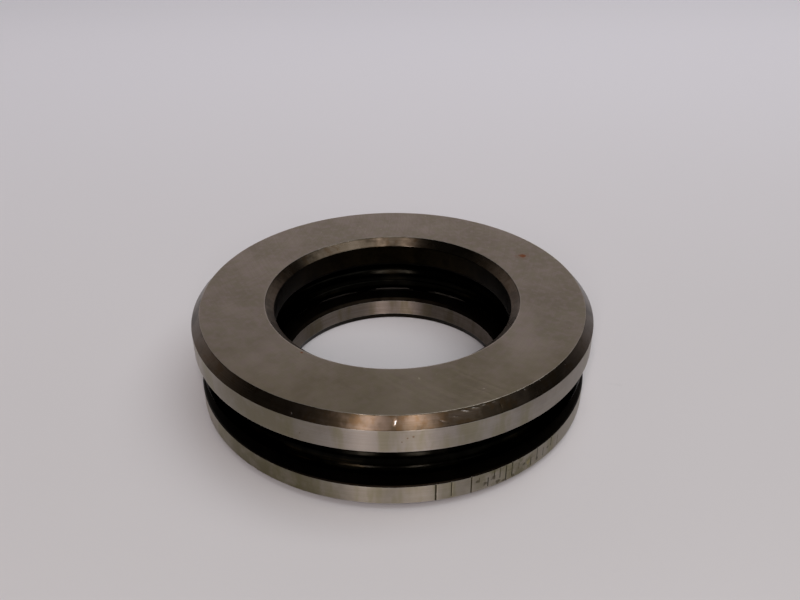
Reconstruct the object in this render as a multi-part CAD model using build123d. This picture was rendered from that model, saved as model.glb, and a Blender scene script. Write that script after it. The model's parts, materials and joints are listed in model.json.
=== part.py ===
from build123d import *
import math
import os

# A single-direction thrust ball bearing, lying flat: a shaft washer below, a housing washer above, and a
# ring of balls between them in a pressed-steel cage made as two channel-shaped halves.
# Millimetres. The origin is the centre of the bottom face, and +Z is the axis of rotation, up.

# Balls
ball_diameter = 9.525
ball_count = 14
ball_gap_least = 1.3  # least free distance between neighbouring balls

# Fits between the rolling parts
race_clearance = 0.04  # ball to the bottom of each groove
pocket_clearance = 0.12  # ball to its pocket in the cage
wall_clearance = 0.14  # ball to the cage's inner and outer walls
cage_axial_clearance = 0.6  # cage to each washer's face

# Washers, across
shaft_bore = 35.0
inner_rim = 2.2375  # from the shaft washer's bore to the balls' reach
outer_rim = 1.7375  # from the balls' reach to the housing washer's outside
housing_bore_step = 1.0  # housing washer's bore stands this far outside the shaft
shaft_rim_step = 0.5  # shaft washer's outside stands this far inside the housing washer's

# Washers, along the axis
shaft_washer_thickness = 4.2
housing_washer_thickness = 5.15
groove_depth = 1.68
groove_relief = 0.39  # groove's section radius less the ball's

# Edges of the washers: chamfers on the back faces, breaks on the raceway side
housing_rim_chamfer_across = 1.31
housing_rim_chamfer_along = 1.5
housing_bore_chamfer_across = 1.31
housing_bore_chamfer_along = 1.2
shaft_rim_chamfer_across = 1.2
shaft_rim_chamfer_along = 1.15
shaft_bore_chamfer_across = 0.3
shaft_bore_chamfer_along = 1.0
housing_bore_break = 0.6  # the three breaks on the raceway side are at 45 degrees
shaft_bore_break = 0.5
rim_break = 0.2

# Cage
cage_sheet = 0.75
cage_bend = 2.0  # outer radius of the bends between web and walls
seam_break = 0.15  # edge break where the halves meet

# Heights, from the fits
washer_gap = ball_diameter + 2 * race_clearance - 2 * groove_depth
shaft_race_face = shaft_washer_thickness
housing_race_face = shaft_race_face + washer_gap
housing_back_face = housing_race_face + housing_washer_thickness
mid_height = (shaft_race_face + housing_race_face) / 2
cage_half_height = washer_gap / 2 - cage_axial_clearance

# Radii, from the bore outwards: the pitch circle leaves the inner rim and never crowds the balls
ball_radius = ball_diameter / 2
shaft_bore_radius = shaft_bore / 2
crowded_pitch_radius = (ball_diameter + ball_gap_least) / (2 * math.sin(math.pi / ball_count))
pitch_radius = max(shaft_bore_radius + inner_rim + ball_radius, crowded_pitch_radius)
housing_outer_radius = pitch_radius + ball_radius + outer_rim
housing_bore_radius = shaft_bore_radius + housing_bore_step
shaft_outer_radius = housing_outer_radius - shaft_rim_step
groove_radius = ball_radius + groove_relief
cage_inner_radius = pitch_radius - ball_radius - wall_clearance - cage_sheet
cage_outer_radius = pitch_radius + ball_radius + wall_clearance + cage_sheet


def turned(outline):
    """A solid turned about Z from a face drawn in the XZ plane, where X is the radius."""
    return revolve(outline, Axis.Z, 360)


def washer_blank(bore_radius, outer_radius, back_face, race_face, bore_chamfer, rim_chamfer, bore_break):
    """A washer without its groove.

    bore_chamfer and rim_chamfer are (across, along), on the edges of the back face. bore_break is on the
    raceway side.
    """
    into = 1 if race_face > back_face else -1
    corners = [
        (bore_radius + bore_chamfer[0], back_face),
        (outer_radius - rim_chamfer[0], back_face),
        (outer_radius, back_face + into * rim_chamfer[1]),
        (outer_radius, race_face - into * rim_break),
        (outer_radius - rim_break, race_face),
        (bore_radius + bore_break, race_face),
        (bore_radius, race_face - into * bore_break),
        (bore_radius, back_face + into * bore_chamfer[1]),
    ]
    points = [(radius, 0, height) for radius, height in corners]
    return turned(make_face(Polyline(*points, close=True)))


def groove(race_face, into):
    """The ring that a raceway groove removes. into is +1 for a washer above the balls, -1 below."""
    centre_height = race_face + into * (groove_depth - groove_radius)
    return Pos(0, 0, centre_height) * Torus(pitch_radius, groove_radius)


def shaft_washer():
    """The lower washer, back face down on Z = 0."""
    blank = washer_blank(
        shaft_bore_radius,
        shaft_outer_radius,
        0,
        shaft_race_face,
        (shaft_bore_chamfer_across, shaft_bore_chamfer_along),
        (shaft_rim_chamfer_across, shaft_rim_chamfer_along),
        shaft_bore_break,
    )
    return blank - groove(shaft_race_face, -1)


def housing_washer():
    """The upper washer, back face up."""
    blank = washer_blank(
        housing_bore_radius,
        housing_outer_radius,
        housing_back_face,
        housing_race_face,
        (housing_bore_chamfer_across, housing_bore_chamfer_along),
        (housing_rim_chamfer_across, housing_rim_chamfer_along),
        housing_bore_break,
    )
    return blank - groove(housing_race_face, 1)


def ball_places():
    """The balls' centres, evenly round the pitch circle, the first on +X."""
    turn = 2 * math.pi / ball_count
    return [
        (pitch_radius * math.cos(turn * index), pitch_radius * math.sin(turn * index), mid_height)
        for index in range(ball_count)
    ]


def channel_face(inner_radius, outer_radius, bend, web_height, open_height):
    """Section of a channel that is closed at web_height and open at open_height, as a filled face."""
    into = 1 if web_height > open_height else -1
    shoulder = web_height - into * bend
    slant = bend * math.sin(math.radians(45))
    inner_mid = (inner_radius + bend - slant, 0, shoulder + into * slant)
    outer_mid = (outer_radius - bend + slant, 0, shoulder + into * slant)
    lines = [
        Line((inner_radius, 0, open_height), (inner_radius, 0, shoulder)),
        ThreePointArc((inner_radius, 0, shoulder), inner_mid, (inner_radius + bend, 0, web_height)),
        Line((inner_radius + bend, 0, web_height), (outer_radius - bend, 0, web_height)),
        ThreePointArc((outer_radius - bend, 0, web_height), outer_mid, (outer_radius, 0, shoulder)),
        Line((outer_radius, 0, shoulder), (outer_radius, 0, open_height)),
        Line((outer_radius, 0, open_height), (inner_radius, 0, open_height)),
    ]
    return make_face(Wire(lines))


def seam_notch(radius, outward, into):
    """The small chamfer that breaks one visible edge of a half where it meets the other half."""
    corners = [
        (radius, 0, mid_height),
        (radius - outward * seam_break, 0, mid_height),
        (radius, 0, mid_height + into * seam_break),
    ]
    return turned(make_face(Polyline(*corners, close=True)))


def cage_half(into):
    """A channel-shaped half of the cage with a round pocket for each ball. into is +1 above, -1 below."""
    web_height = mid_height + into * cage_half_height
    outside = channel_face(cage_inner_radius, cage_outer_radius, cage_bend, web_height, mid_height)
    hollow = channel_face(
        cage_inner_radius + cage_sheet,
        cage_outer_radius - cage_sheet,
        cage_bend - cage_sheet,
        web_height - into * cage_sheet,
        mid_height,
    )
    half = turned(outside - hollow)
    half -= seam_notch(cage_outer_radius, 1, into)
    half -= seam_notch(cage_inner_radius, -1, into)
    for place in ball_places():
        half -= Pos(*place) * Sphere(ball_radius + pocket_clearance)
    return half


def ball(place):
    """One ball, standing at its centre."""
    return Pos(*place) * Sphere(ball_radius)


pieces = {
    "shaft_washer": shaft_washer(),
    "housing_washer": housing_washer(),
    "cage_upper_half": cage_half(1),
    "cage_lower_half": cage_half(-1),
}
for number, place in enumerate(ball_places(), start=1):
    pieces[f"ball_{number:02d}"] = ball(place)

os.makedirs("parts", exist_ok=True)
for node, shape in pieces.items():
    export_step(shape, f"parts/{node}.step")
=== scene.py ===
import json
import math

import bmesh
import bpy
from mathutils import Matrix, Vector


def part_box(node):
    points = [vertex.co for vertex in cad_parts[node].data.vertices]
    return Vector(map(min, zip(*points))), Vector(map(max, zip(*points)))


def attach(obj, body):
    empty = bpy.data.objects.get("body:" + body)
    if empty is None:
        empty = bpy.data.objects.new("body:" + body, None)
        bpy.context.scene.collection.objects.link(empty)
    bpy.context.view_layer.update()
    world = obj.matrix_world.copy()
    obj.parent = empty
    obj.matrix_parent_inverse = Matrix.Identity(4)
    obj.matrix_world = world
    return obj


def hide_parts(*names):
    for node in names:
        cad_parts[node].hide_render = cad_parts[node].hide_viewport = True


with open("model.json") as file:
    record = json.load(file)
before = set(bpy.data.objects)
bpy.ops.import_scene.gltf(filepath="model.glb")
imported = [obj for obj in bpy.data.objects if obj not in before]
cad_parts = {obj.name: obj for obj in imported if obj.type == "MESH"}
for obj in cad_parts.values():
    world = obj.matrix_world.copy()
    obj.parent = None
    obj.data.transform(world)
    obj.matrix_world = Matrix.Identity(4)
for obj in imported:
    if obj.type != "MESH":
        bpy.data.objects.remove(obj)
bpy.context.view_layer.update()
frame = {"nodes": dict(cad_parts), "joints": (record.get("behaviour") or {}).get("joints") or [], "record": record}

# A thrust ball bearing lying flat on a pale table. Metres throughout, and +Z is the axis of rotation.
# The washers are turned from rounded outlines, with their nicks and etched ticks in the mesh. The cage and
# the balls are the frame's own. The sizes that the frame states are read from it.

MM = 0.001
SECTION_STEP = 0.72  # degrees between a washer's cross-sections
MARK_STEP = 0.15  # the same, beside a nick or a tick
MARK_REACH = 5  # steps that the closer cross-sections run to each side of a mark
GUARD = 0.1 * MM  # how far from a rounded edge the flat beside it begins
ROUND_STEPS = 4  # facets of a rounded corner
ROUND_SHARE = 0.45  # the most of a run that the rounding of one corner takes up
GROOVE_STEPS = 20  # facets of a raceway groove's section


# ---------------------------------------------------------------- sizes read from the frame

def mount(name):
    """One of the record's mounts, by name."""
    return next(entry for entry in frame["record"]["mounts"] if entry["name"] == name)


def wall(name):
    """(radius, lowest height, highest height) of a round mount's wall."""
    entry = mount(name)
    radius = entry["dims"]["r_mm"] * MM
    half_length = entry["dims"]["length_mm"] * MM / 2
    middle = entry["pos_m"][2]
    return radius, middle - half_length, middle + half_length


def joint(name):
    """One of the frame's joints, by name."""
    return next(entry for entry in frame["joints"] if entry["name"] == name)


shaft_low, shaft_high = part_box("shaft_washer")
housing_low, housing_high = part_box("housing_washer")
ball_low, ball_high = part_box("ball_01")
ball_radius = (ball_high.z - ball_low.z) / 2
ball_names = sorted(name for name in frame["nodes"] if name.startswith("ball_"))
pitch_radius = Vector(joint("ball_01_roll")["pos_m"]).xy.length

# Sizes that the frame doesn't state, the same as in the CAD
groove_depth = 1.68 * MM
groove_radius = ball_radius + 0.39 * MM
rim_break = 0.2 * MM
housing_rim_chamfer = 1.31 * MM
housing_bore_chamfer = 1.31 * MM
housing_bore_break = 0.6 * MM
shaft_rim_chamfer = (1.2 * MM, 1.15 * MM)  # across, and along the axis
shaft_bore_chamfer = 0.3 * MM
shaft_bore_break = 0.5 * MM

# Roundings of the washers' edges
crisp = 0.05 * MM
worn = 0.12 * MM
soft = 0.3 * MM


# ---------------------------------------------------------------- turned outlines

def fillet(before, corner, after, radius):
    """Points of a small arc that rounds one corner of an outline."""
    back = (before - corner).normalized()
    ahead = (after - corner).normalized()
    half_angle = back.angle(ahead) / 2
    shorter = min((before - corner).length, (after - corner).length)
    reach = min(radius / math.tan(half_angle), ROUND_SHARE * shorter)
    radius = reach * math.tan(half_angle)
    centre = corner + (back + ahead).normalized() * (radius / math.sin(half_angle))
    start = corner + back * reach - centre
    end = corner + ahead * reach - centre
    turn = start.angle_signed(end)
    turns = [-turn * step / ROUND_STEPS for step in range(ROUND_STEPS + 1)]
    return [centre + Matrix.Rotation(angle, 2) @ start for angle in turns]


def run_points(start, end, spacing, guarded):
    """Points between the ends of a straight run, with one close to each end if it is guarded."""
    run = end - start
    guard = min(GUARD, run.length / 4) / run.length if guarded else 0
    cuts = math.ceil(run.length * (1 - 2 * guard) / spacing)
    shares = [guard + (1 - 2 * guard) * cut / cuts for cut in range(cuts + 1)]
    return [start + run * share for share in shares if 0 < share < 1]


def outline(corners):
    """Closed outline from (radius, height, rounding, zone, spacing) corners.

    A zone names the finish of the run that starts at its corner, and spacing is the run's longest facet.
    Returns the points, the zone of the run after each point, and how much of an edge each point is.
    """
    points, zones, edges = [], [], []
    count = len(corners)
    places = [Vector(corner[:2]) for corner in corners]
    arcs = []
    for index, (_, _, rounding, _, _) in enumerate(corners):
        here = places[index]
        if rounding:
            arcs.append(fillet(places[index - 1], here, places[(index + 1) % count], rounding))
        else:
            arcs.append([here])
    for index, (_, _, rounding, zone, spacing) in enumerate(corners):
        arc, following = arcs[index], (index + 1) % count
        for number, point in enumerate(arc):
            points.append(point)
            zones.append(zone if number >= len(arc) // 2 else corners[index - 1][3])
            edges.append(1 if rounding else 0)
        guarded = bool(rounding or corners[following][2])
        between = run_points(arc[-1], arcs[following][0], spacing, guarded)
        points += between
        zones += [zone] * len(between)
        edges += [0] * len(between)
    return points, zones, edges


def section_turns(marked):
    """Azimuths of a ring's cross-sections, in degrees: even, and closer together beside each marked one."""
    count = round(360 / SECTION_STEP)
    turns = {round(step * SECTION_STEP, 2) for step in range(count)}
    for azimuth in marked:
        for step in range(-MARK_REACH, MARK_REACH + 1):
            turns.add(round((azimuth + step * MARK_STEP) % 360, 2))
    return sorted(turns)


def new_object(name, data):
    """An object in the scene, for a mesh, a light or a camera."""
    made = bpy.data.objects.new(name, data)
    bpy.context.scene.collection.objects.link(made)
    return made


def turned(name, corners, finishes, marked, dent):
    """A ring turned about Z from an outline. finishes maps each zone to a material.

    marked lists the azimuths of its marks, and dent takes (radius, azimuth, height) of a point and gives
    how far the marks move it, as (outwards, up), and how much it is marked, from 0 to 1.
    """
    points, zones, edges = outline(corners)
    turns = section_turns(marked)
    count = len(points)
    vertices, marks = [], []
    for azimuth in turns:
        angle = math.radians(azimuth)
        for point in points:
            outwards, up, mark = dent(point.x, azimuth, point.y)
            radius = point.x + outwards
            vertices.append((radius * math.cos(angle), radius * math.sin(angle), point.y + up))
            marks.append(mark)
    faces, slots = [], []
    names = list(finishes)
    for section in range(len(turns)):
        here, there = section * count, (section + 1) % len(turns) * count
        for index in range(count):
            following = (index + 1) % count
            faces.append((here + index, there + index, there + following, here + following))
            slots.append(names.index(zones[index]))
    mesh = bpy.data.meshes.new(name)
    mesh.from_pydata(vertices, [], faces)
    for finish in finishes.values():
        mesh.materials.append(finish)
    mesh.polygons.foreach_set("material_index", slots)
    mesh.polygons.foreach_set("use_smooth", [True] * len(faces))
    mesh.attributes.new("mark", "FLOAT", "POINT").data.foreach_set("value", marks)
    mesh.attributes.new("edge", "FLOAT", "POINT").data.foreach_set("value", edges * len(turns))
    face_outwards(mesh)
    return new_object(name, mesh)


def face_outwards(mesh):
    """Makes every face of a closed mesh look outwards."""
    shell = bmesh.new()
    shell.from_mesh(mesh)
    bmesh.ops.recalc_face_normals(shell, faces=shell.faces)
    shell.to_mesh(mesh)
    shell.free()


def bump_profile(distance, half_width):
    """1 on a mark's line, falling smoothly to 0 beside it."""
    return math.exp(-((distance / half_width) ** 2))


def angle_between(azimuth, other):
    """Signed difference of two azimuths, in radians."""
    return math.radians((azimuth - other + 180) % 360 - 180)


# ---------------------------------------------------------------- node helpers

HEIGHT_WEIGHT = 2.3  # what height counts for in turning lines, against radius


def tinted(color, *shares):
    """A colour times one share, or times one for each channel."""
    each = shares if len(shares) == 3 else shares * 3
    return tuple(channel * share for channel, share in zip(color, each))


class Shade:
    """One material's nodes, with a short method for each kind that the materials use."""

    def __init__(self, name, metallic, anisotropic=0.0):
        self.material = bpy.data.materials.new(name)
        self.material.use_nodes = True
        self.nodes = self.material.node_tree.nodes
        self.links = self.material.node_tree.links
        self.shader = self.nodes["Principled BSDF"]
        self.shader.inputs["Metallic"].default_value = metallic
        self.place = self.nodes.new("ShaderNodeTexCoord").outputs["Object"]
        if anisotropic:
            self.stretch_highlights(anisotropic)

    def stretch_highlights(self, anisotropic):
        """Draws highlights out across the turning lines, which run round Z."""
        self.shader.inputs["Anisotropic"].default_value = anisotropic
        self.shader.inputs["Anisotropic Rotation"].default_value = 0.25
        tangent = self.nodes.new("ShaderNodeTangent")
        tangent.direction_type = "RADIAL"
        tangent.axis = "Z"
        self.links.new(tangent.outputs[0], self.shader.inputs["Tangent"])

    def feed(self, socket, value):
        """Links an output to a socket, or sets the socket's own value."""
        if isinstance(value, bpy.types.NodeSocket):
            self.links.new(value, socket)
        elif socket.type == "RGBA":
            socket.default_value = (*value, 1)
        else:
            socket.default_value = value

    def math(self, operation, first, second):
        node = self.nodes.new("ShaderNodeMath")
        node.operation = operation
        self.feed(node.inputs[0], first)
        self.feed(node.inputs[1], second)
        return node.outputs[0]

    def add(self, first, second):
        return self.math("ADD", first, second)

    def times(self, first, second):
        return self.math("MULTIPLY", first, second)

    def vector(self, operation, first, second=(0, 0, 0), scale=1.0):
        node = self.nodes.new("ShaderNodeVectorMath")
        node.operation = operation
        self.feed(node.inputs[0], first)
        if operation == "SCALE":
            self.feed(node.inputs["Scale"], scale)
        else:
            self.feed(node.inputs[1], second)
        return node.outputs["Value" if operation in ("LENGTH", "DISTANCE") else "Vector"]

    def mix(self, amount, first, second):
        """Colours first and second, mixed."""
        node = self.nodes.new("ShaderNodeMix")
        node.data_type = "RGBA"
        self.feed(node.inputs[0], amount)
        self.feed(node.inputs[6], first)
        self.feed(node.inputs[7], second)
        return node.outputs[2]

    def blend(self, amount, first, second):
        """Numbers first and second, mixed."""
        node = self.nodes.new("ShaderNodeMix")
        self.feed(node.inputs[0], amount)
        self.feed(node.inputs[2], first)
        self.feed(node.inputs[3], second)
        return node.outputs[0]

    def band(self, value, low, high, start=0.0, end=1.0):
        """value from low to high, mapped smoothly to start to end."""
        node = self.nodes.new("ShaderNodeMapRange")
        node.interpolation_type = "SMOOTHSTEP"
        self.feed(node.inputs["Value"], value)
        for name, number in (("From Min", low), ("From Max", high), ("To Min", start), ("To Max", end)):
            node.inputs[name].default_value = number
        return node.outputs["Result"]

    def noise(self, vector, scale, detail=2.0, roughness=0.5):
        node = self.nodes.new("ShaderNodeTexNoise")
        self.feed(node.inputs["Vector"], vector)
        node.inputs["Scale"].default_value = scale
        node.inputs["Detail"].default_value = detail
        node.inputs["Roughness"].default_value = roughness
        return node.outputs["Fac"]

    def attribute(self, name):
        node = self.nodes.new("ShaderNodeAttribute")
        node.attribute_name = name
        return node.outputs["Fac"]

    def along(self, axis):
        """A point's place along X, Y or Z."""
        split = self.nodes.new("ShaderNodeSeparateXYZ")
        self.links.new(self.place, split.inputs[0])
        return split.outputs[axis]

    def drawn_out(self, flat, step, around):
        """Noise that changes with step, and slowly with the direction of flat."""
        join = self.nodes.new("ShaderNodeCombineXYZ")
        self.links.new(step, join.inputs["Z"])
        direction = self.vector("SCALE", self.vector("NORMALIZE", flat), scale=around)
        return self.noise(self.vector("ADD", direction, join.outputs[0]), 1.0)

    def lathe_lines(self, across, around):
        """Noise drawn out into lines round the axis: across per metre, changing around times a radian."""
        flat = self.vector("MULTIPLY", self.place, (1, 1, 0))
        rise = self.times(self.along("Z"), HEIGHT_WEIGHT)
        return self.drawn_out(flat, self.times(self.add(self.vector("LENGTH", flat), rise), across), around)

    def arcs(self, centre, across, around):
        """Noise drawn out into long arcs about a centre off the axis, as a face grinder leaves."""
        flat = self.vector("MULTIPLY", self.vector("SUBTRACT", self.place, centre), (1, 1, 0))
        return self.drawn_out(flat, self.times(self.vector("LENGTH", flat), across), around)

    def spot(self, radius, azimuth, height, size, ragged=0.5):
        """A ragged spot on the surface at a radius, azimuth in degrees and height."""
        angle = math.radians(azimuth)
        centre = (radius * math.cos(angle), radius * math.sin(angle), height)
        away = self.vector("DISTANCE", self.place, centre)
        uneven = self.times(self.noise(self.place, 1.6 / size), ragged * 2 * size)
        return self.band(self.add(away, uneven), size * (1 + ragged), size * (0.4 + ragged))

    def patchy(self, mask, scale, low, high, start=0.0, end=1.0, roughness=0.6):
        """A mask broken up into patches, from start to end of its strength."""
        return self.times(mask, self.band(self.noise(self.place, scale, 4, roughness), low, high, start, end))

    def worn_edge(self, scale, low, high, most):
        """The edges that the mesh marks, unevenly worn."""
        uneven_edge = self.add(self.attribute("edge"), self.noise(self.place, scale))
        return self.band(uneven_edge, low, high, 0.0, most)

    def most(self, *masks):
        """The largest of some masks."""
        result = masks[0]
        for mask in masks[1:]:
            result = self.math("MAXIMUM", result, mask)
        return result

    def finish(self, color, roughness, height, depth):
        """Feeds the shader and gives the material. height is a bump that goes depth metres deep."""
        self.feed(self.shader.inputs["Base Color"], color)
        self.feed(self.shader.inputs["Roughness"], roughness)
        bump = self.nodes.new("ShaderNodeBump")
        bump.inputs["Distance"].default_value = depth
        self.links.new(height, bump.inputs["Height"])
        self.links.new(bump.outputs[0], self.shader.inputs["Normal"])
        return self.material


# ---------------------------------------------------------------- materials

GRINDING_DEPTH = 0.003 * MM  # of the bump that ground lines make


def ground_face_steel():
    """Surface-ground steel: faint crossing arcs, a blotched tone, painted shade in front, with pits and rust."""
    shade = Shade("ground_face", metallic=1.0)
    patches = shade.noise(shade.place, 95, 4, 0.6)
    blots = shade.noise(shade.place, 300, 3, 0.6)
    flecks = shade.noise(shade.place, 900, 2)
    arcs = shade.arcs((-0.055, 0.03, 0), 5200, 3.0)
    crossing = shade.arcs((0.06, 0.045, 0), 3900, 3.0)
    lines = shade.times(shade.add(arcs, crossing), 0.5)

    warm_grey = (0.315, 0.274, 0.215)
    pale_grey = (0.430, 0.370, 0.318)
    olive_grey = (0.325, 0.296, 0.215)
    rose_grey = (0.430, 0.350, 0.338)
    line_grey = (0.300, 0.255, 0.200)
    tone = shade.mix(shade.band(patches, 0.34, 0.66), warm_grey, pale_grey)
    tone = shade.mix(shade.band(blots, 0.40, 0.68, 0.0, 0.6), tone, olive_grey)
    tone = shade.mix(shade.band(flecks, 0.42, 0.68, 0.0, 0.5), tone, rose_grey)
    tone = shade.mix(shade.band(lines, 0.42, 0.62, 0.0, 0.22), tone, line_grey)

    # Painted shade: the face is darker and yellower towards the front.
    painted_shade = (0.280, 0.238, 0.145)
    uneven_front = shade.add(shade.along("Y"), shade.times(patches, 12 * MM))
    tone = shade.mix(shade.band(uneven_front, -2 * MM, -20 * MM, 0.0, 0.5), tone, painted_shade)

    bare = (0.54, 0.50, 0.45)
    pit = (0.60, 0.55, 0.42)
    tone = shade.mix(shade.worn_edge(900, 1.0, 1.5, 0.45), tone, bare)
    pits = shade.band(shade.noise(shade.place, 1300, 1), 0.77, 0.82)
    tone = shade.mix(shade.times(pits, 0.6), tone, pit)

    rust_brown = (0.25, 0.10, 0.05)
    rust_halo = (0.30, 0.17, 0.11)
    large_spot = (25.2 * MM, 29, housing_high.z)
    small_spot = (20.3 * MM, 231, housing_high.z)
    rust = shade.most(shade.spot(*large_spot, 0.72 * MM, 0.6), shade.spot(*small_spot, 0.26 * MM))
    tone = shade.mix(shade.times(shade.spot(*large_spot, 1.5 * MM, 0.8), 0.35), tone, rust_halo)
    tone = shade.mix(rust, tone, rust_brown)

    rough = shade.band(shade.add(lines, shade.times(patches, 0.5)), 0.5, 1.0, 0.33, 0.46)
    height = shade.add(lines, shade.times(flecks, 0.5))
    return shade.finish(tone, shade.blend(rust, rough, 0.8), height, GRINDING_DEPTH)


def ground_rim_steel(name, dark, pale, roughness, mark_color):
    """Steel ground round its outside or its bore: fine lines round the axis, uneven tone and a worn edge.

    Returns the Shade, its tone, its roughness and its height, for a caller to add to and finish.
    """
    shade = Shade(name, metallic=1.0, anisotropic=0.95)
    fine = shade.lathe_lines(9000, 2.0)
    broad = shade.lathe_lines(1500, 1.2)
    upright = shade.noise(shade.vector("MULTIPLY", shade.place, (1, 1, 0.25)), 330, 3, 0.6)
    patches = shade.noise(shade.place, 170, 4, 0.6)

    olive = tinted(dark, 0.72, 0.73, 0.46)
    bare = (0.50, 0.46, 0.41)
    tone = shade.mix(shade.band(fine, 0.35, 0.65), dark, pale)
    tone = shade.mix(shade.band(patches, 0.46, 0.66, 0.0, 0.55), tone, tinted(dark, 0.78))
    tone = shade.mix(shade.band(upright, 0.46, 0.64, 0.0, 0.55), tone, olive)
    tone = shade.mix(shade.band(broad, 0.52, 0.68, 0.0, 0.15), tone, tinted(pale, 1.15))
    tone = shade.mix(shade.worn_edge(700, 0.95, 1.45, 0.5), tone, bare)

    filled = shade.band(shade.noise(shade.place, 2600), 0.25, 0.5, 0.55, 1.0)
    mark = shade.band(shade.times(shade.attribute("mark"), filled), 0.12, 0.5)
    tone = shade.mix(mark, tone, mark_color)
    rough = shade.blend(mark, shade.band(fine, 0.3, 0.7, roughness, roughness + 0.10), 0.5)
    return shade, tone, rough, shade.add(fine, shade.times(broad, 0.6))


def housing_rim_steel():
    """The housing washer's ground outside, with painted shade at the front left and small brown specks."""
    shade, tone, rough, height = ground_rim_steel(
        "ground_rim",
        dark=(0.324, 0.290, 0.250),
        pale=(0.374, 0.337, 0.302),
        roughness=0.32,
        mark_color=(0.2, 0.15, 0.1),
    )
    painted_shade = (0.220, 0.192, 0.110)
    speck_brown = (0.20, 0.13, 0.08)
    rim_radius, _, rim_high = wall("housing_rim")
    speck_places = (  # azimuth, how far down and how large, in millimetres
        (273.2, 1.2, 0.16),
        (274.6, 1.0, 0.20),
        (271.9, 1.8, 0.13),
        (247.0, 2.2, 0.12),
    )
    specks = shade.most(*[
        shade.spot(rim_radius, azimuth, rim_high - drop * MM, size * MM)
        for azimuth, drop, size in speck_places
    ])
    # Painted shade: a darker patch on the front left, the side away from the light.
    left_shade = shade.spot(rim_radius, 234, rim_high - 1.5 * MM, 11 * MM, 0.3)
    tone = shade.mix(shade.patchy(left_shade, 240, 0.38, 0.58, 0.25, 0.65), tone, painted_shade)
    tone = shade.mix(specks, tone, speck_brown)
    return shade.finish(tone, shade.blend(specks, rough, 0.6), height, GRINDING_DEPTH)


def shaft_rim_steel():
    """The shaft washer's ground outside: dark etched ticks, and olive stains and grime round them."""
    shade, tone, rough, height = ground_rim_steel(
        "etched_rim",
        dark=(0.298, 0.268, 0.212),
        pale=(0.354, 0.320, 0.272),
        roughness=0.30,
        mark_color=(0.035, 0.030, 0.016),
    )
    olive = (0.175, 0.155, 0.075)
    painted_shade = (0.150, 0.132, 0.062)
    yellow = (0.42, 0.36, 0.14)
    grime_brown = (0.065, 0.050, 0.026)
    rim_radius = shaft_high.x
    middle = shaft_high.z * 0.55
    stain = shade.spot(rim_radius, 301, middle, 7.5 * MM, 0.3)
    stain = shade.patchy(stain, 420, 0.42, 0.60, roughness=0.65)
    # Painted shade: a darker patch on the front left, the side away from the light.
    left_shade = shade.spot(rim_radius, 236, middle, 11 * MM, 0.3)
    dab = shade.spot(rim_radius, 308, middle, 0.5 * MM, 0.8)
    grime_places = (  # azimuth, how far above the middle and how large, in millimetres
        (291.6, 0.6, 0.35),
        (294.0, -0.2, 0.40),
        (296.4, 0.3, 0.45),
        (297.8, -0.7, 0.45),
        (299.6, -0.9, 0.35),
        (302.8, -0.8, 0.30),
        (306.4, 0.2, 0.30),
        (311.5, -0.3, 0.35),
        (316.0, 0.3, 0.30),
    )
    grime = shade.most(*[
        shade.spot(rim_radius, azimuth, middle + rise * MM, size * MM, 0.8)
        for azimuth, rise, size in grime_places
    ])
    tone = shade.mix(shade.times(stain, 0.62), tone, olive)
    tone = shade.mix(shade.patchy(left_shade, 260, 0.36, 0.56, 0.35, 0.8), tone, painted_shade)
    tone = shade.mix(shade.times(dab, 0.6), tone, yellow)
    tone = shade.mix(shade.times(grime, 0.75), tone, grime_brown)
    return shade.finish(tone, shade.blend(stain, rough, 0.45), height, GRINDING_DEPTH)


def ground_bore_steel():
    """The shaft washer's ground bore, browner and duller than its outside."""
    shade, tone, rough, height = ground_rim_steel(
        "ground_bore",
        dark=(0.165, 0.135, 0.108),
        pale=(0.260, 0.220, 0.192),
        roughness=0.42,
        mark_color=(0.1, 0.08, 0.05),
    )
    return shade.finish(tone, rough, height, GRINDING_DEPTH)


def dark_skin(name, dark, pale, roughness, anisotropic, rubbed):
    """Turned steel with its dark heat-treated skin: turning lines, and pale where it is rubbed or nicked.

    rubbed, from 0 to 1, is how much its edges are worn.
    """
    shade = Shade(name, metallic=1.0, anisotropic=anisotropic)
    lines = shade.lathe_lines(6500, 2.5)
    patches = shade.noise(shade.place, 240, 4, 0.6)
    around = shade.lathe_lines(60, 9.0)
    brown = shade.band(shade.noise(shade.place, 620, 3, 0.6), 0.50, 0.66, 0.0, 0.6)
    edge = shade.attribute("edge")

    rubbed_color = (0.40, 0.35, 0.29)
    bared_color = (0.88, 0.82, 0.76)
    tone = shade.mix(shade.band(lines, 0.30, 0.75, 0.30, 0.65), dark, pale)
    tone = shade.mix(shade.band(around, 0.45, 0.70, 0.0, 0.5), tone, pale)
    tone = shade.mix(shade.band(patches, 0.50, 0.66, 0.0, 0.7), tone, tinted(dark, 0.5))
    tone = shade.mix(brown, tone, tinted(dark, 1.15, 0.95, 0.8))
    # Painted shade: darker along the rounded edges, where the highlight falls off.
    tone = shade.mix(shade.band(edge, 0.2, 0.8, 0.0, 0.7), tone, tinted(dark, 0.5))
    rub = shade.add(shade.times(edge, 0.6), shade.noise(shade.place, 430, 3))
    tone = shade.mix(shade.band(rub, 1.02, 1.24, 0.0, rubbed), tone, rubbed_color)
    bared = shade.band(shade.attribute("mark"), 0.25, 0.9)
    tone = shade.mix(bared, tone, bared_color)

    rough = shade.blend(bared, shade.band(patches, 0.3, 0.7, roughness, roughness + 0.1), 0.3)
    height = shade.add(shade.times(lines, 0.4), patches)
    return shade.finish(tone, rough, height, 0.004 * MM)


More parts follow.
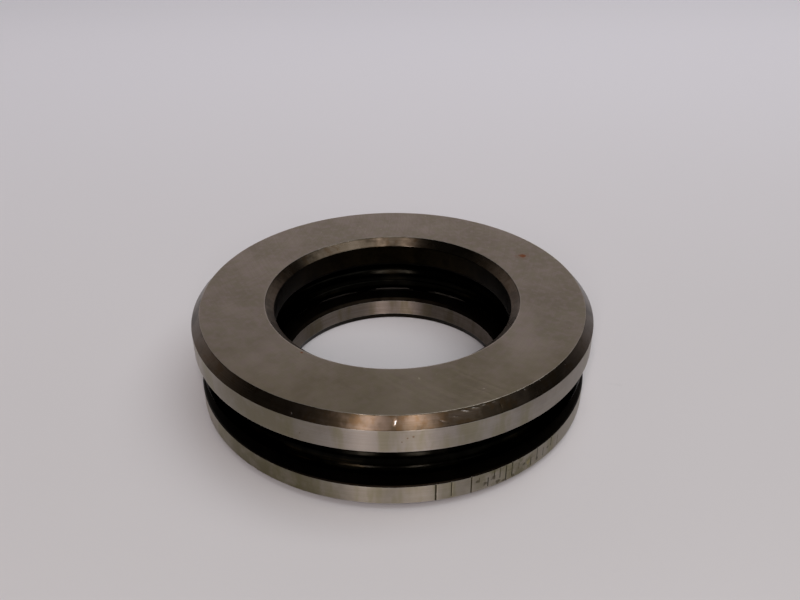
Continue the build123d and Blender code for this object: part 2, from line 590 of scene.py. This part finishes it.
def raceway_steel():
    """The polished groove that the balls run in, darkened as painted shade between the washers: fine lines round
    the axis, paler patches.
    """
    # Painted shade: the groove is darkened where it lies between the washers.
    shaded_dark = (0.13, 0.115, 0.095)
    shaded_pale = (0.21, 0.190, 0.165)
    pale_patch = (0.42, 0.38, 0.31)
    shade = Shade("raceway", metallic=1.0, anisotropic=0.3)
    lines = shade.lathe_lines(12000, 1.5)
    patches = shade.noise(shade.place, 140, 3)
    tone = shade.mix(shade.band(lines, 0.35, 0.65), shaded_dark, shaded_pale)
    tone = shade.mix(shade.band(patches, 0.5, 0.7, 0.0, 0.4), tone, pale_patch)
    return shade.finish(tone, shade.band(patches, 0.3, 0.7, 0.10, 0.2), lines, 0.001 * MM)


def cage_black():
    """Black-oxidised pressed steel under a film of oil: blotchy gloss, brown where it is rubbed."""
    black = (0.0018, 0.0017, 0.0013)
    faded = (0.0050, 0.0047, 0.0036)
    rubbed_brown = (0.012, 0.009, 0.005)
    glint = (0.03, 0.028, 0.025)
    shade = Shade("cage_black", metallic=1.0)
    patches = shade.noise(shade.place, 170, 4, 0.6)
    grain = shade.noise(shade.place, 2400, 3)
    draw = shade.lathe_lines(2200, 3.0)
    tone = shade.mix(shade.band(patches, 0.4, 0.65), black, faded)
    tone = shade.mix(shade.band(shade.add(draw, patches), 1.10, 1.34), tone, rubbed_brown)
    shade.feed(shade.shader.inputs["Specular Tint"], glint)
    rough = shade.band(shade.add(patches, shade.times(grain, 0.3)), 0.45, 0.95, 0.15, 0.27)
    return shade.finish(tone, rough, shade.add(shade.times(grain, 0.35), draw), 0.006 * MM)


def ball_steel():
    """Polished ball steel: nearly a mirror, faintly clouded, and dull in tone as painted shade between the
    washers.
    """
    # Painted shade: the balls are dimmed where they sit between the washers.
    shaded_dark = (0.24, 0.235, 0.225)
    shaded_pale = (0.34, 0.335, 0.325)
    shade = Shade("ball_steel", metallic=1.0)
    clouds = shade.noise(shade.place, 320, 3)
    grain = shade.noise(shade.place, 5200, 2)
    tone = shade.mix(shade.band(clouds, 0.42, 0.66), shaded_dark, shaded_pale)
    return shade.finish(tone, shade.band(clouds, 0.35, 0.7, 0.05, 0.13), grain, 0.0006 * MM)


def table_laminate():
    """A pale laminate table: fine texture, painted light that makes it paler towards the back, and a few faint
    grey smudges.
    """
    near_grey = (0.605, 0.598, 0.602)
    near_pale = (0.650, 0.640, 0.645)
    painted_far_light = (0.930, 0.925, 0.990)
    smudge_grey = (0.40, 0.39, 0.40)
    shade = Shade("table_laminate", metallic=0.0)
    clouds = shade.noise(shade.place, 7, 3)
    fine = shade.noise(shade.place, 1800, 2)
    drawn = shade.noise(shade.vector("MULTIPLY", shade.place, (38, 90, 1)), 1.0, 4, 0.65)
    tone = shade.mix(clouds, near_grey, near_pale)
    # Painted light: the table grows paler towards the back.
    tone = shade.mix(shade.band(shade.along("Y"), -0.06, 0.26), tone, painted_far_light)
    tone = shade.mix(shade.times(shade.band(drawn, 0.70, 0.80), 0.35), tone, smudge_grey)
    return shade.finish(tone, shade.band(clouds, 0.3, 0.7, 0.42, 0.52), fine, 0.01 * MM)


ground_face = ground_face_steel()
housing_rim = housing_rim_steel()
shaft_rim = shaft_rim_steel()
ground_bore = ground_bore_steel()
rim_skin = dark_skin(
    "rim_skin",
    dark=(0.054, 0.039, 0.020),
    pale=(0.105, 0.081, 0.065),
    roughness=0.27,
    anisotropic=0.5,
    rubbed=0.5,
)
bore_chamfer_skin = dark_skin(
    "bore_chamfer_skin",
    dark=(0.048, 0.036, 0.022),
    pale=(0.125, 0.098, 0.074),
    roughness=0.25,
    anisotropic=0.9,
    rubbed=0.2,
)
# Partly a dark skin of its own, and partly painted shade: made near black where the bore lies in shade.
bore_skin_and_shade = dark_skin(
    "bore_skin_and_shade",
    dark=(0.0045, 0.0031, 0.0012),
    pale=(0.0135, 0.0094, 0.0040),
    roughness=0.32,
    anisotropic=0.0,
    rubbed=0.0,
)
# Painted shade: the lands face the gap between the washers and are made near black.
land_painted_shade = dark_skin(
    "land_painted_shade",
    dark=(0.004, 0.003, 0.002),
    pale=(0.012, 0.009, 0.006),
    roughness=0.45,
    anisotropic=0.0,
    rubbed=0.0,
)
raceway = raceway_steel()


# ---------------------------------------------------------------- the washers

def groove_corners(race_face, into):
    """Outline corners of a raceway groove, from its outer edge to its inner edge.

    into is +1 for a washer above the balls and -1 for one below them.
    """
    centre = race_face + into * (groove_depth - groove_radius)
    drop = math.acos((groove_radius - groove_depth) / groove_radius)
    corners = []
    for step in range(GROOVE_STEPS + 1):
        angle = drop * (1 - 2 * step / GROOVE_STEPS)
        radius = pitch_radius + groove_radius * math.sin(angle)
        height = centre + into * groove_radius * math.cos(angle)
        rounding = crisp if step in (0, GROOVE_STEPS) else 0
        zone = "land" if step == GROOVE_STEPS else "raceway"
        corners.append((radius, height, rounding, zone, 0.7 * MM))
    return corners


MARK_MARGIN = 0.2 * MM  # how far past the rim chamfer a nick still dents the washer
TICK_DEPTH = 0.05 * MM  # of the deepest tick

# Nicks and scuffs on the housing washer's rim chamfer: azimuth, share of the way down, half-length,
# half-width, lean in radians, depth, and how bare they are
nicks = [
    (270.4, 0.46, 0.50 * MM, 0.12 * MM, -0.25, 0.06 * MM, 1.0),
    (244.8, 0.74, 0.28 * MM, 0.08 * MM, 0.5, 0.04 * MM, 0.8),
    (238.0, 0.35, 0.28 * MM, 0.08 * MM, -1.0, 0.02 * MM, 0.45),
    (281.6, 0.58, 0.80 * MM, 0.07 * MM, 1.20, 0.02 * MM, 0.55),
    (285.0, 0.44, 0.80 * MM, 0.07 * MM, 1.30, 0.02 * MM, 0.50),
    (287.6, 0.20, 1.00 * MM, 0.08 * MM, 1.30, 0.03 * MM, 0.75),
    (290.2, 0.15, 1.00 * MM, 0.07 * MM, 1.40, 0.03 * MM, 0.70),
    (292.6, 0.12, 0.80 * MM, 0.07 * MM, 1.45, 0.03 * MM, 0.60),
    (295.6, 0.14, 0.70 * MM, 0.08 * MM, 1.50, 0.02 * MM, 0.5),
    (297.2, 0.50, 0.45 * MM, 0.07 * MM, 0.10, 0.03 * MM, 0.35),
    (305.2, 0.12, 0.25 * MM, 0.10 * MM, 0.30, 0.03 * MM, 0.8),
    (311.0, 0.08, 0.25 * MM, 0.10 * MM, 0.30, 0.03 * MM, 0.7),
    (322.0, 0.30, 0.30 * MM, 0.08 * MM, 0.4, 0.03 * MM, 0.6),
    (66.0, 0.60, 0.35 * MM, 0.09 * MM, 0.6, 0.04 * MM, 0.7),
    (152.0, 0.40, 0.45 * MM, 0.09 * MM, -0.4, 0.04 * MM, 0.7),
]

# Ticks etched in the shaft washer's outside, standing for the marks there: azimuth, half-width, depth, and
# the shares of the band's height that they run from and to
ticks = [
    (280.5, 0.10 * MM, 0.05 * MM, 0.0, 1.0),
    (284.6, 0.08 * MM, 0.04 * MM, 0.1, 1.0),
    (290.0, 0.09 * MM, 0.05 * MM, 0.0, 1.0),
    (292.2, 0.07 * MM, 0.03 * MM, 0.45, 0.8),
    (294.8, 0.08 * MM, 0.04 * MM, 0.1, 0.6),
    (296.6, 0.07 * MM, 0.04 * MM, 0.5, 0.9),
    (298.4, 0.07 * MM, 0.04 * MM, 0.3, 0.9),
    (300.3, 0.08 * MM, 0.05 * MM, 0.0, 0.9),
    (302.3, 0.08 * MM, 0.05 * MM, 0.1, 1.0),
    (304.6, 0.07 * MM, 0.03 * MM, 0.3, 0.7),
    (309.0, 0.08 * MM, 0.04 * MM, 0.1, 0.6),
    (311.4, 0.07 * MM, 0.04 * MM, 0.3, 0.9),
    (314.0, 0.07 * MM, 0.03 * MM, 0.2, 0.7),
    (317.5, 0.08 * MM, 0.04 * MM, 0.4, 1.0),
    (321.0, 0.07 * MM, 0.03 * MM, 0.1, 0.7),
]


def housing_washer():
    """The upper washer, its ground back face up."""
    rim_radius, rim_low, rim_high = wall("housing_rim")
    bore_radius, bore_low, bore_high = wall("shaft_passage")
    race_face, back_face = housing_low.z, housing_high.z
    chamfer_top = Vector((rim_radius - housing_rim_chamfer, back_face))
    slope = Vector((rim_radius, rim_high)) - chamfer_top
    inwards = Vector((slope.y, -slope.x)).normalized()

    def nicked(radius, azimuth, height):
        if radius < chamfer_top.x - MARK_MARGIN or height < rim_high - MARK_MARGIN:
            return 0, 0, 0
        along = (Vector((radius, height)) - chamfer_top).dot(slope.normalized())
        deepest, mark = 0, 0
        for turn, share, half_length, half_width, lean, depth, bareness in nicks:
            up_line = along - share * slope.length
            aside = radius * angle_between(azimuth, turn)
            across = aside * math.cos(lean) - up_line * math.sin(lean)
            onward = aside * math.sin(lean) + up_line * math.cos(lean)
            profile = bump_profile(across, half_width) * bump_profile(onward, half_length) ** 2
            deepest = max(deepest, profile * depth)
            mark = max(mark, profile * bareness)
        return inwards.x * deepest, inwards.y * deepest, mark

    corners = [
        (bore_radius + housing_bore_chamfer, back_face, soft, "face", 0.8 * MM),
        (chamfer_top.x, chamfer_top.y, worn, "chamfer", 0.12 * MM),
        (rim_radius, rim_high, worn, "rim", 0.25 * MM),
        (rim_radius, rim_low, crisp, "land", 0.2 * MM),
        (rim_radius - rim_break, race_face, crisp, "land", 0.9 * MM),
        *groove_corners(race_face, 1),
        (bore_radius + housing_bore_break, race_face, crisp, "land", 0.3 * MM),
        (bore_radius, bore_low, crisp, "bore", 0.5 * MM),
        (bore_radius, bore_high, worn, "bore_chamfer", 0.2 * MM),
    ]
    finishes = {
        "face": ground_face,
        "chamfer": rim_skin,
        "rim": housing_rim,
        "land": land_painted_shade,
        "raceway": raceway,
        "bore": bore_skin_and_shade,
        "bore_chamfer": bore_chamfer_skin,
    }
    piece = turned("housing_washer_ring", corners, finishes, [nick[0] for nick in nicks], nicked)
    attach(piece, "housing_washer")
    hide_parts("housing_washer")


def shaft_washer():
    """The lower washer, its ground back face down on the table."""
    bore_radius, bore_low, bore_high = wall("shaft_bore")
    rim_radius = shaft_high.x
    race_face, back_face = shaft_high.z, shaft_low.z
    chamfer_across, chamfer_along = shaft_rim_chamfer
    skin = 0.02 * MM  # how far inside the rim's wall a point still counts as on it

    def etched(radius, azimuth, height):
        if radius < rim_radius - skin:
            return 0, 0, 0
        share = (height - chamfer_along) / (race_face - chamfer_along)
        deepest, mark = 0, 0
        for turn, half_width, depth, lowest, highest in ticks:
            if lowest <= share <= highest:
                profile = bump_profile(radius * angle_between(azimuth, turn), half_width)
                deepest = max(deepest, profile * depth)
                mark = max(mark, profile * depth / TICK_DEPTH)
        return -deepest, 0, mark

    corners = [
        (bore_radius + shaft_bore_chamfer, back_face, worn, "face", 0.8 * MM),
        (rim_radius - chamfer_across, back_face, worn, "chamfer", 0.2 * MM),
        (rim_radius, back_face + chamfer_along, worn, "rim", 0.25 * MM),
        (rim_radius, race_face - rim_break, crisp, "land", 0.2 * MM),
        (rim_radius - rim_break, race_face, crisp, "land", 0.9 * MM),
        *groove_corners(race_face, -1),
        (bore_radius + shaft_bore_break, race_face, crisp, "land", 0.3 * MM),
        (bore_radius, bore_high, crisp, "bore", 0.3 * MM),
        (bore_radius, bore_low, worn, "chamfer", 0.2 * MM),
    ]
    finishes = {
        "face": ground_face,
        "chamfer": bore_skin_and_shade,
        "rim": shaft_rim,
        "land": land_painted_shade,
        "raceway": raceway,
        "bore": ground_bore,
    }
    piece = turned("shaft_washer_ring", corners, finishes, [tick[0] for tick in ticks], etched)
    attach(piece, "shaft_washer")
    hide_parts("shaft_washer")


def dress(nodes, finish):
    """Gives the frame's own nodes a material."""
    for node in nodes:
        frame["nodes"][node].data.materials.clear()
        frame["nodes"][node].data.materials.append(finish)


housing_washer()
shaft_washer()
dress(("cage_upper_half", "cage_lower_half"), cage_black())
dress(ball_names, ball_steel())


# ---------------------------------------------------------------- table, light and camera

def table():
    """The flat top that the bearing lies on."""
    half = 1.5
    corners = [(-half, -half, 0), (half, -half, 0), (half, half, 0), (-half, half, 0)]
    mesh = bpy.data.meshes.new("table")
    mesh.from_pydata(corners, [], [(0, 1, 2, 3)])
    mesh.materials.append(table_laminate())
    new_object("table", mesh)


def area_light(name, place, target, size, power, color):
    """A rectangular light at a place, facing a target."""
    data = bpy.data.lights.new(name, "AREA")
    data.shape = "RECTANGLE"
    data.size, data.size_y = size
    data.energy = power
    data.color = color
    lamp = new_object(name, data)
    lamp.location = place
    lamp.rotation_euler = (Vector(target) - Vector(place)).to_track_quat("-Z", "Y").to_euler()


def room():
    """Soft surroundings: pale behind the bearing and near the horizon, dim in front and overhead."""
    world = bpy.data.worlds.new("room")
    bpy.context.scene.world = world
    world.use_nodes = True
    nodes, links = world.node_tree.nodes, world.node_tree.links
    place = nodes.new("ShaderNodeTexCoord")
    split = nodes.new("ShaderNodeSeparateXYZ")
    links.new(place.outputs["Generated"], split.inputs[0])
    upwards = nodes.new("ShaderNodeValToRGB")
    links.new(split.outputs["Z"], upwards.inputs["Fac"])
    low, high = upwards.color_ramp.elements
    low.position, low.color = 0.10, (0.76, 0.68, 0.67, 1)
    high.position, high.color = 0.75, (0.04, 0.04, 0.04, 1)
    towards_wall = nodes.new("ShaderNodeVectorMath")
    towards_wall.operation = "DOT_PRODUCT"
    links.new(place.outputs["Generated"], towards_wall.inputs[0])
    towards_wall.inputs[1].default_value = (-0.2, 0.98, 0)
    behind = nodes.new("ShaderNodeMapRange")
    behind.interpolation_type = "SMOOTHSTEP"
    links.new(towards_wall.outputs["Value"], behind.inputs["Value"])
    behind.inputs["From Min"].default_value = -0.05
    behind.inputs["From Max"].default_value = 0.85
    mix = nodes.new("ShaderNodeMix")
    mix.data_type = "RGBA"
    links.new(behind.outputs[0], mix.inputs[0])
    mix.inputs[6].default_value = (0.02, 0.02, 0.018, 1)
    links.new(upwards.outputs["Color"], mix.inputs[7])
    links.new(mix.outputs[2], nodes["Background"].inputs["Color"])


def camera():
    """Looks down at the bearing from close in front, as the photograph does."""
    data = bpy.data.cameras.new("camera")
    data.lens = 36.85
    data.sensor_width = 36
    data.clip_start = 0.005
    eye = new_object("camera", data)
    distance_in_front, height = 0.11001, 0.08127
    pitch, yaw, roll = (math.radians(angle) for angle in (31.26, 0.6, 0.15))
    eye.matrix_world = (
        Matrix.Translation((0, -distance_in_front, height))
        @ Matrix.Rotation(-yaw, 4, "Z")
        @ Matrix.Rotation(math.pi / 2 - pitch, 4, "X")
        @ Matrix.Rotation(-roll, 4, "Z")
    )
    bpy.context.scene.camera = eye


def lights():
    """A broad soft light above, and two upright tubes behind the camera that make the two highlights."""
    cool_white = (0.97, 0.98, 1.0)
    warm_white = (1, 0.89, 0.88)
    tube_size = (0.035, 0.40)
    area_light("key", (0.40, -0.10, 1.20), (0, 0, 0), (1.20, 1.20), 9.0, cool_white)
    for name, place in (("tube_left", (-0.17, -0.60, 0.47)), ("tube_right", (0.14, -0.61, 0.47))):
        area_light(name, place, (0, -0.03, 0), tube_size, 1.75, warm_white)


table()
lights()
room()
camera()
bpy.context.scene.view_settings.view_transform = "Standard"
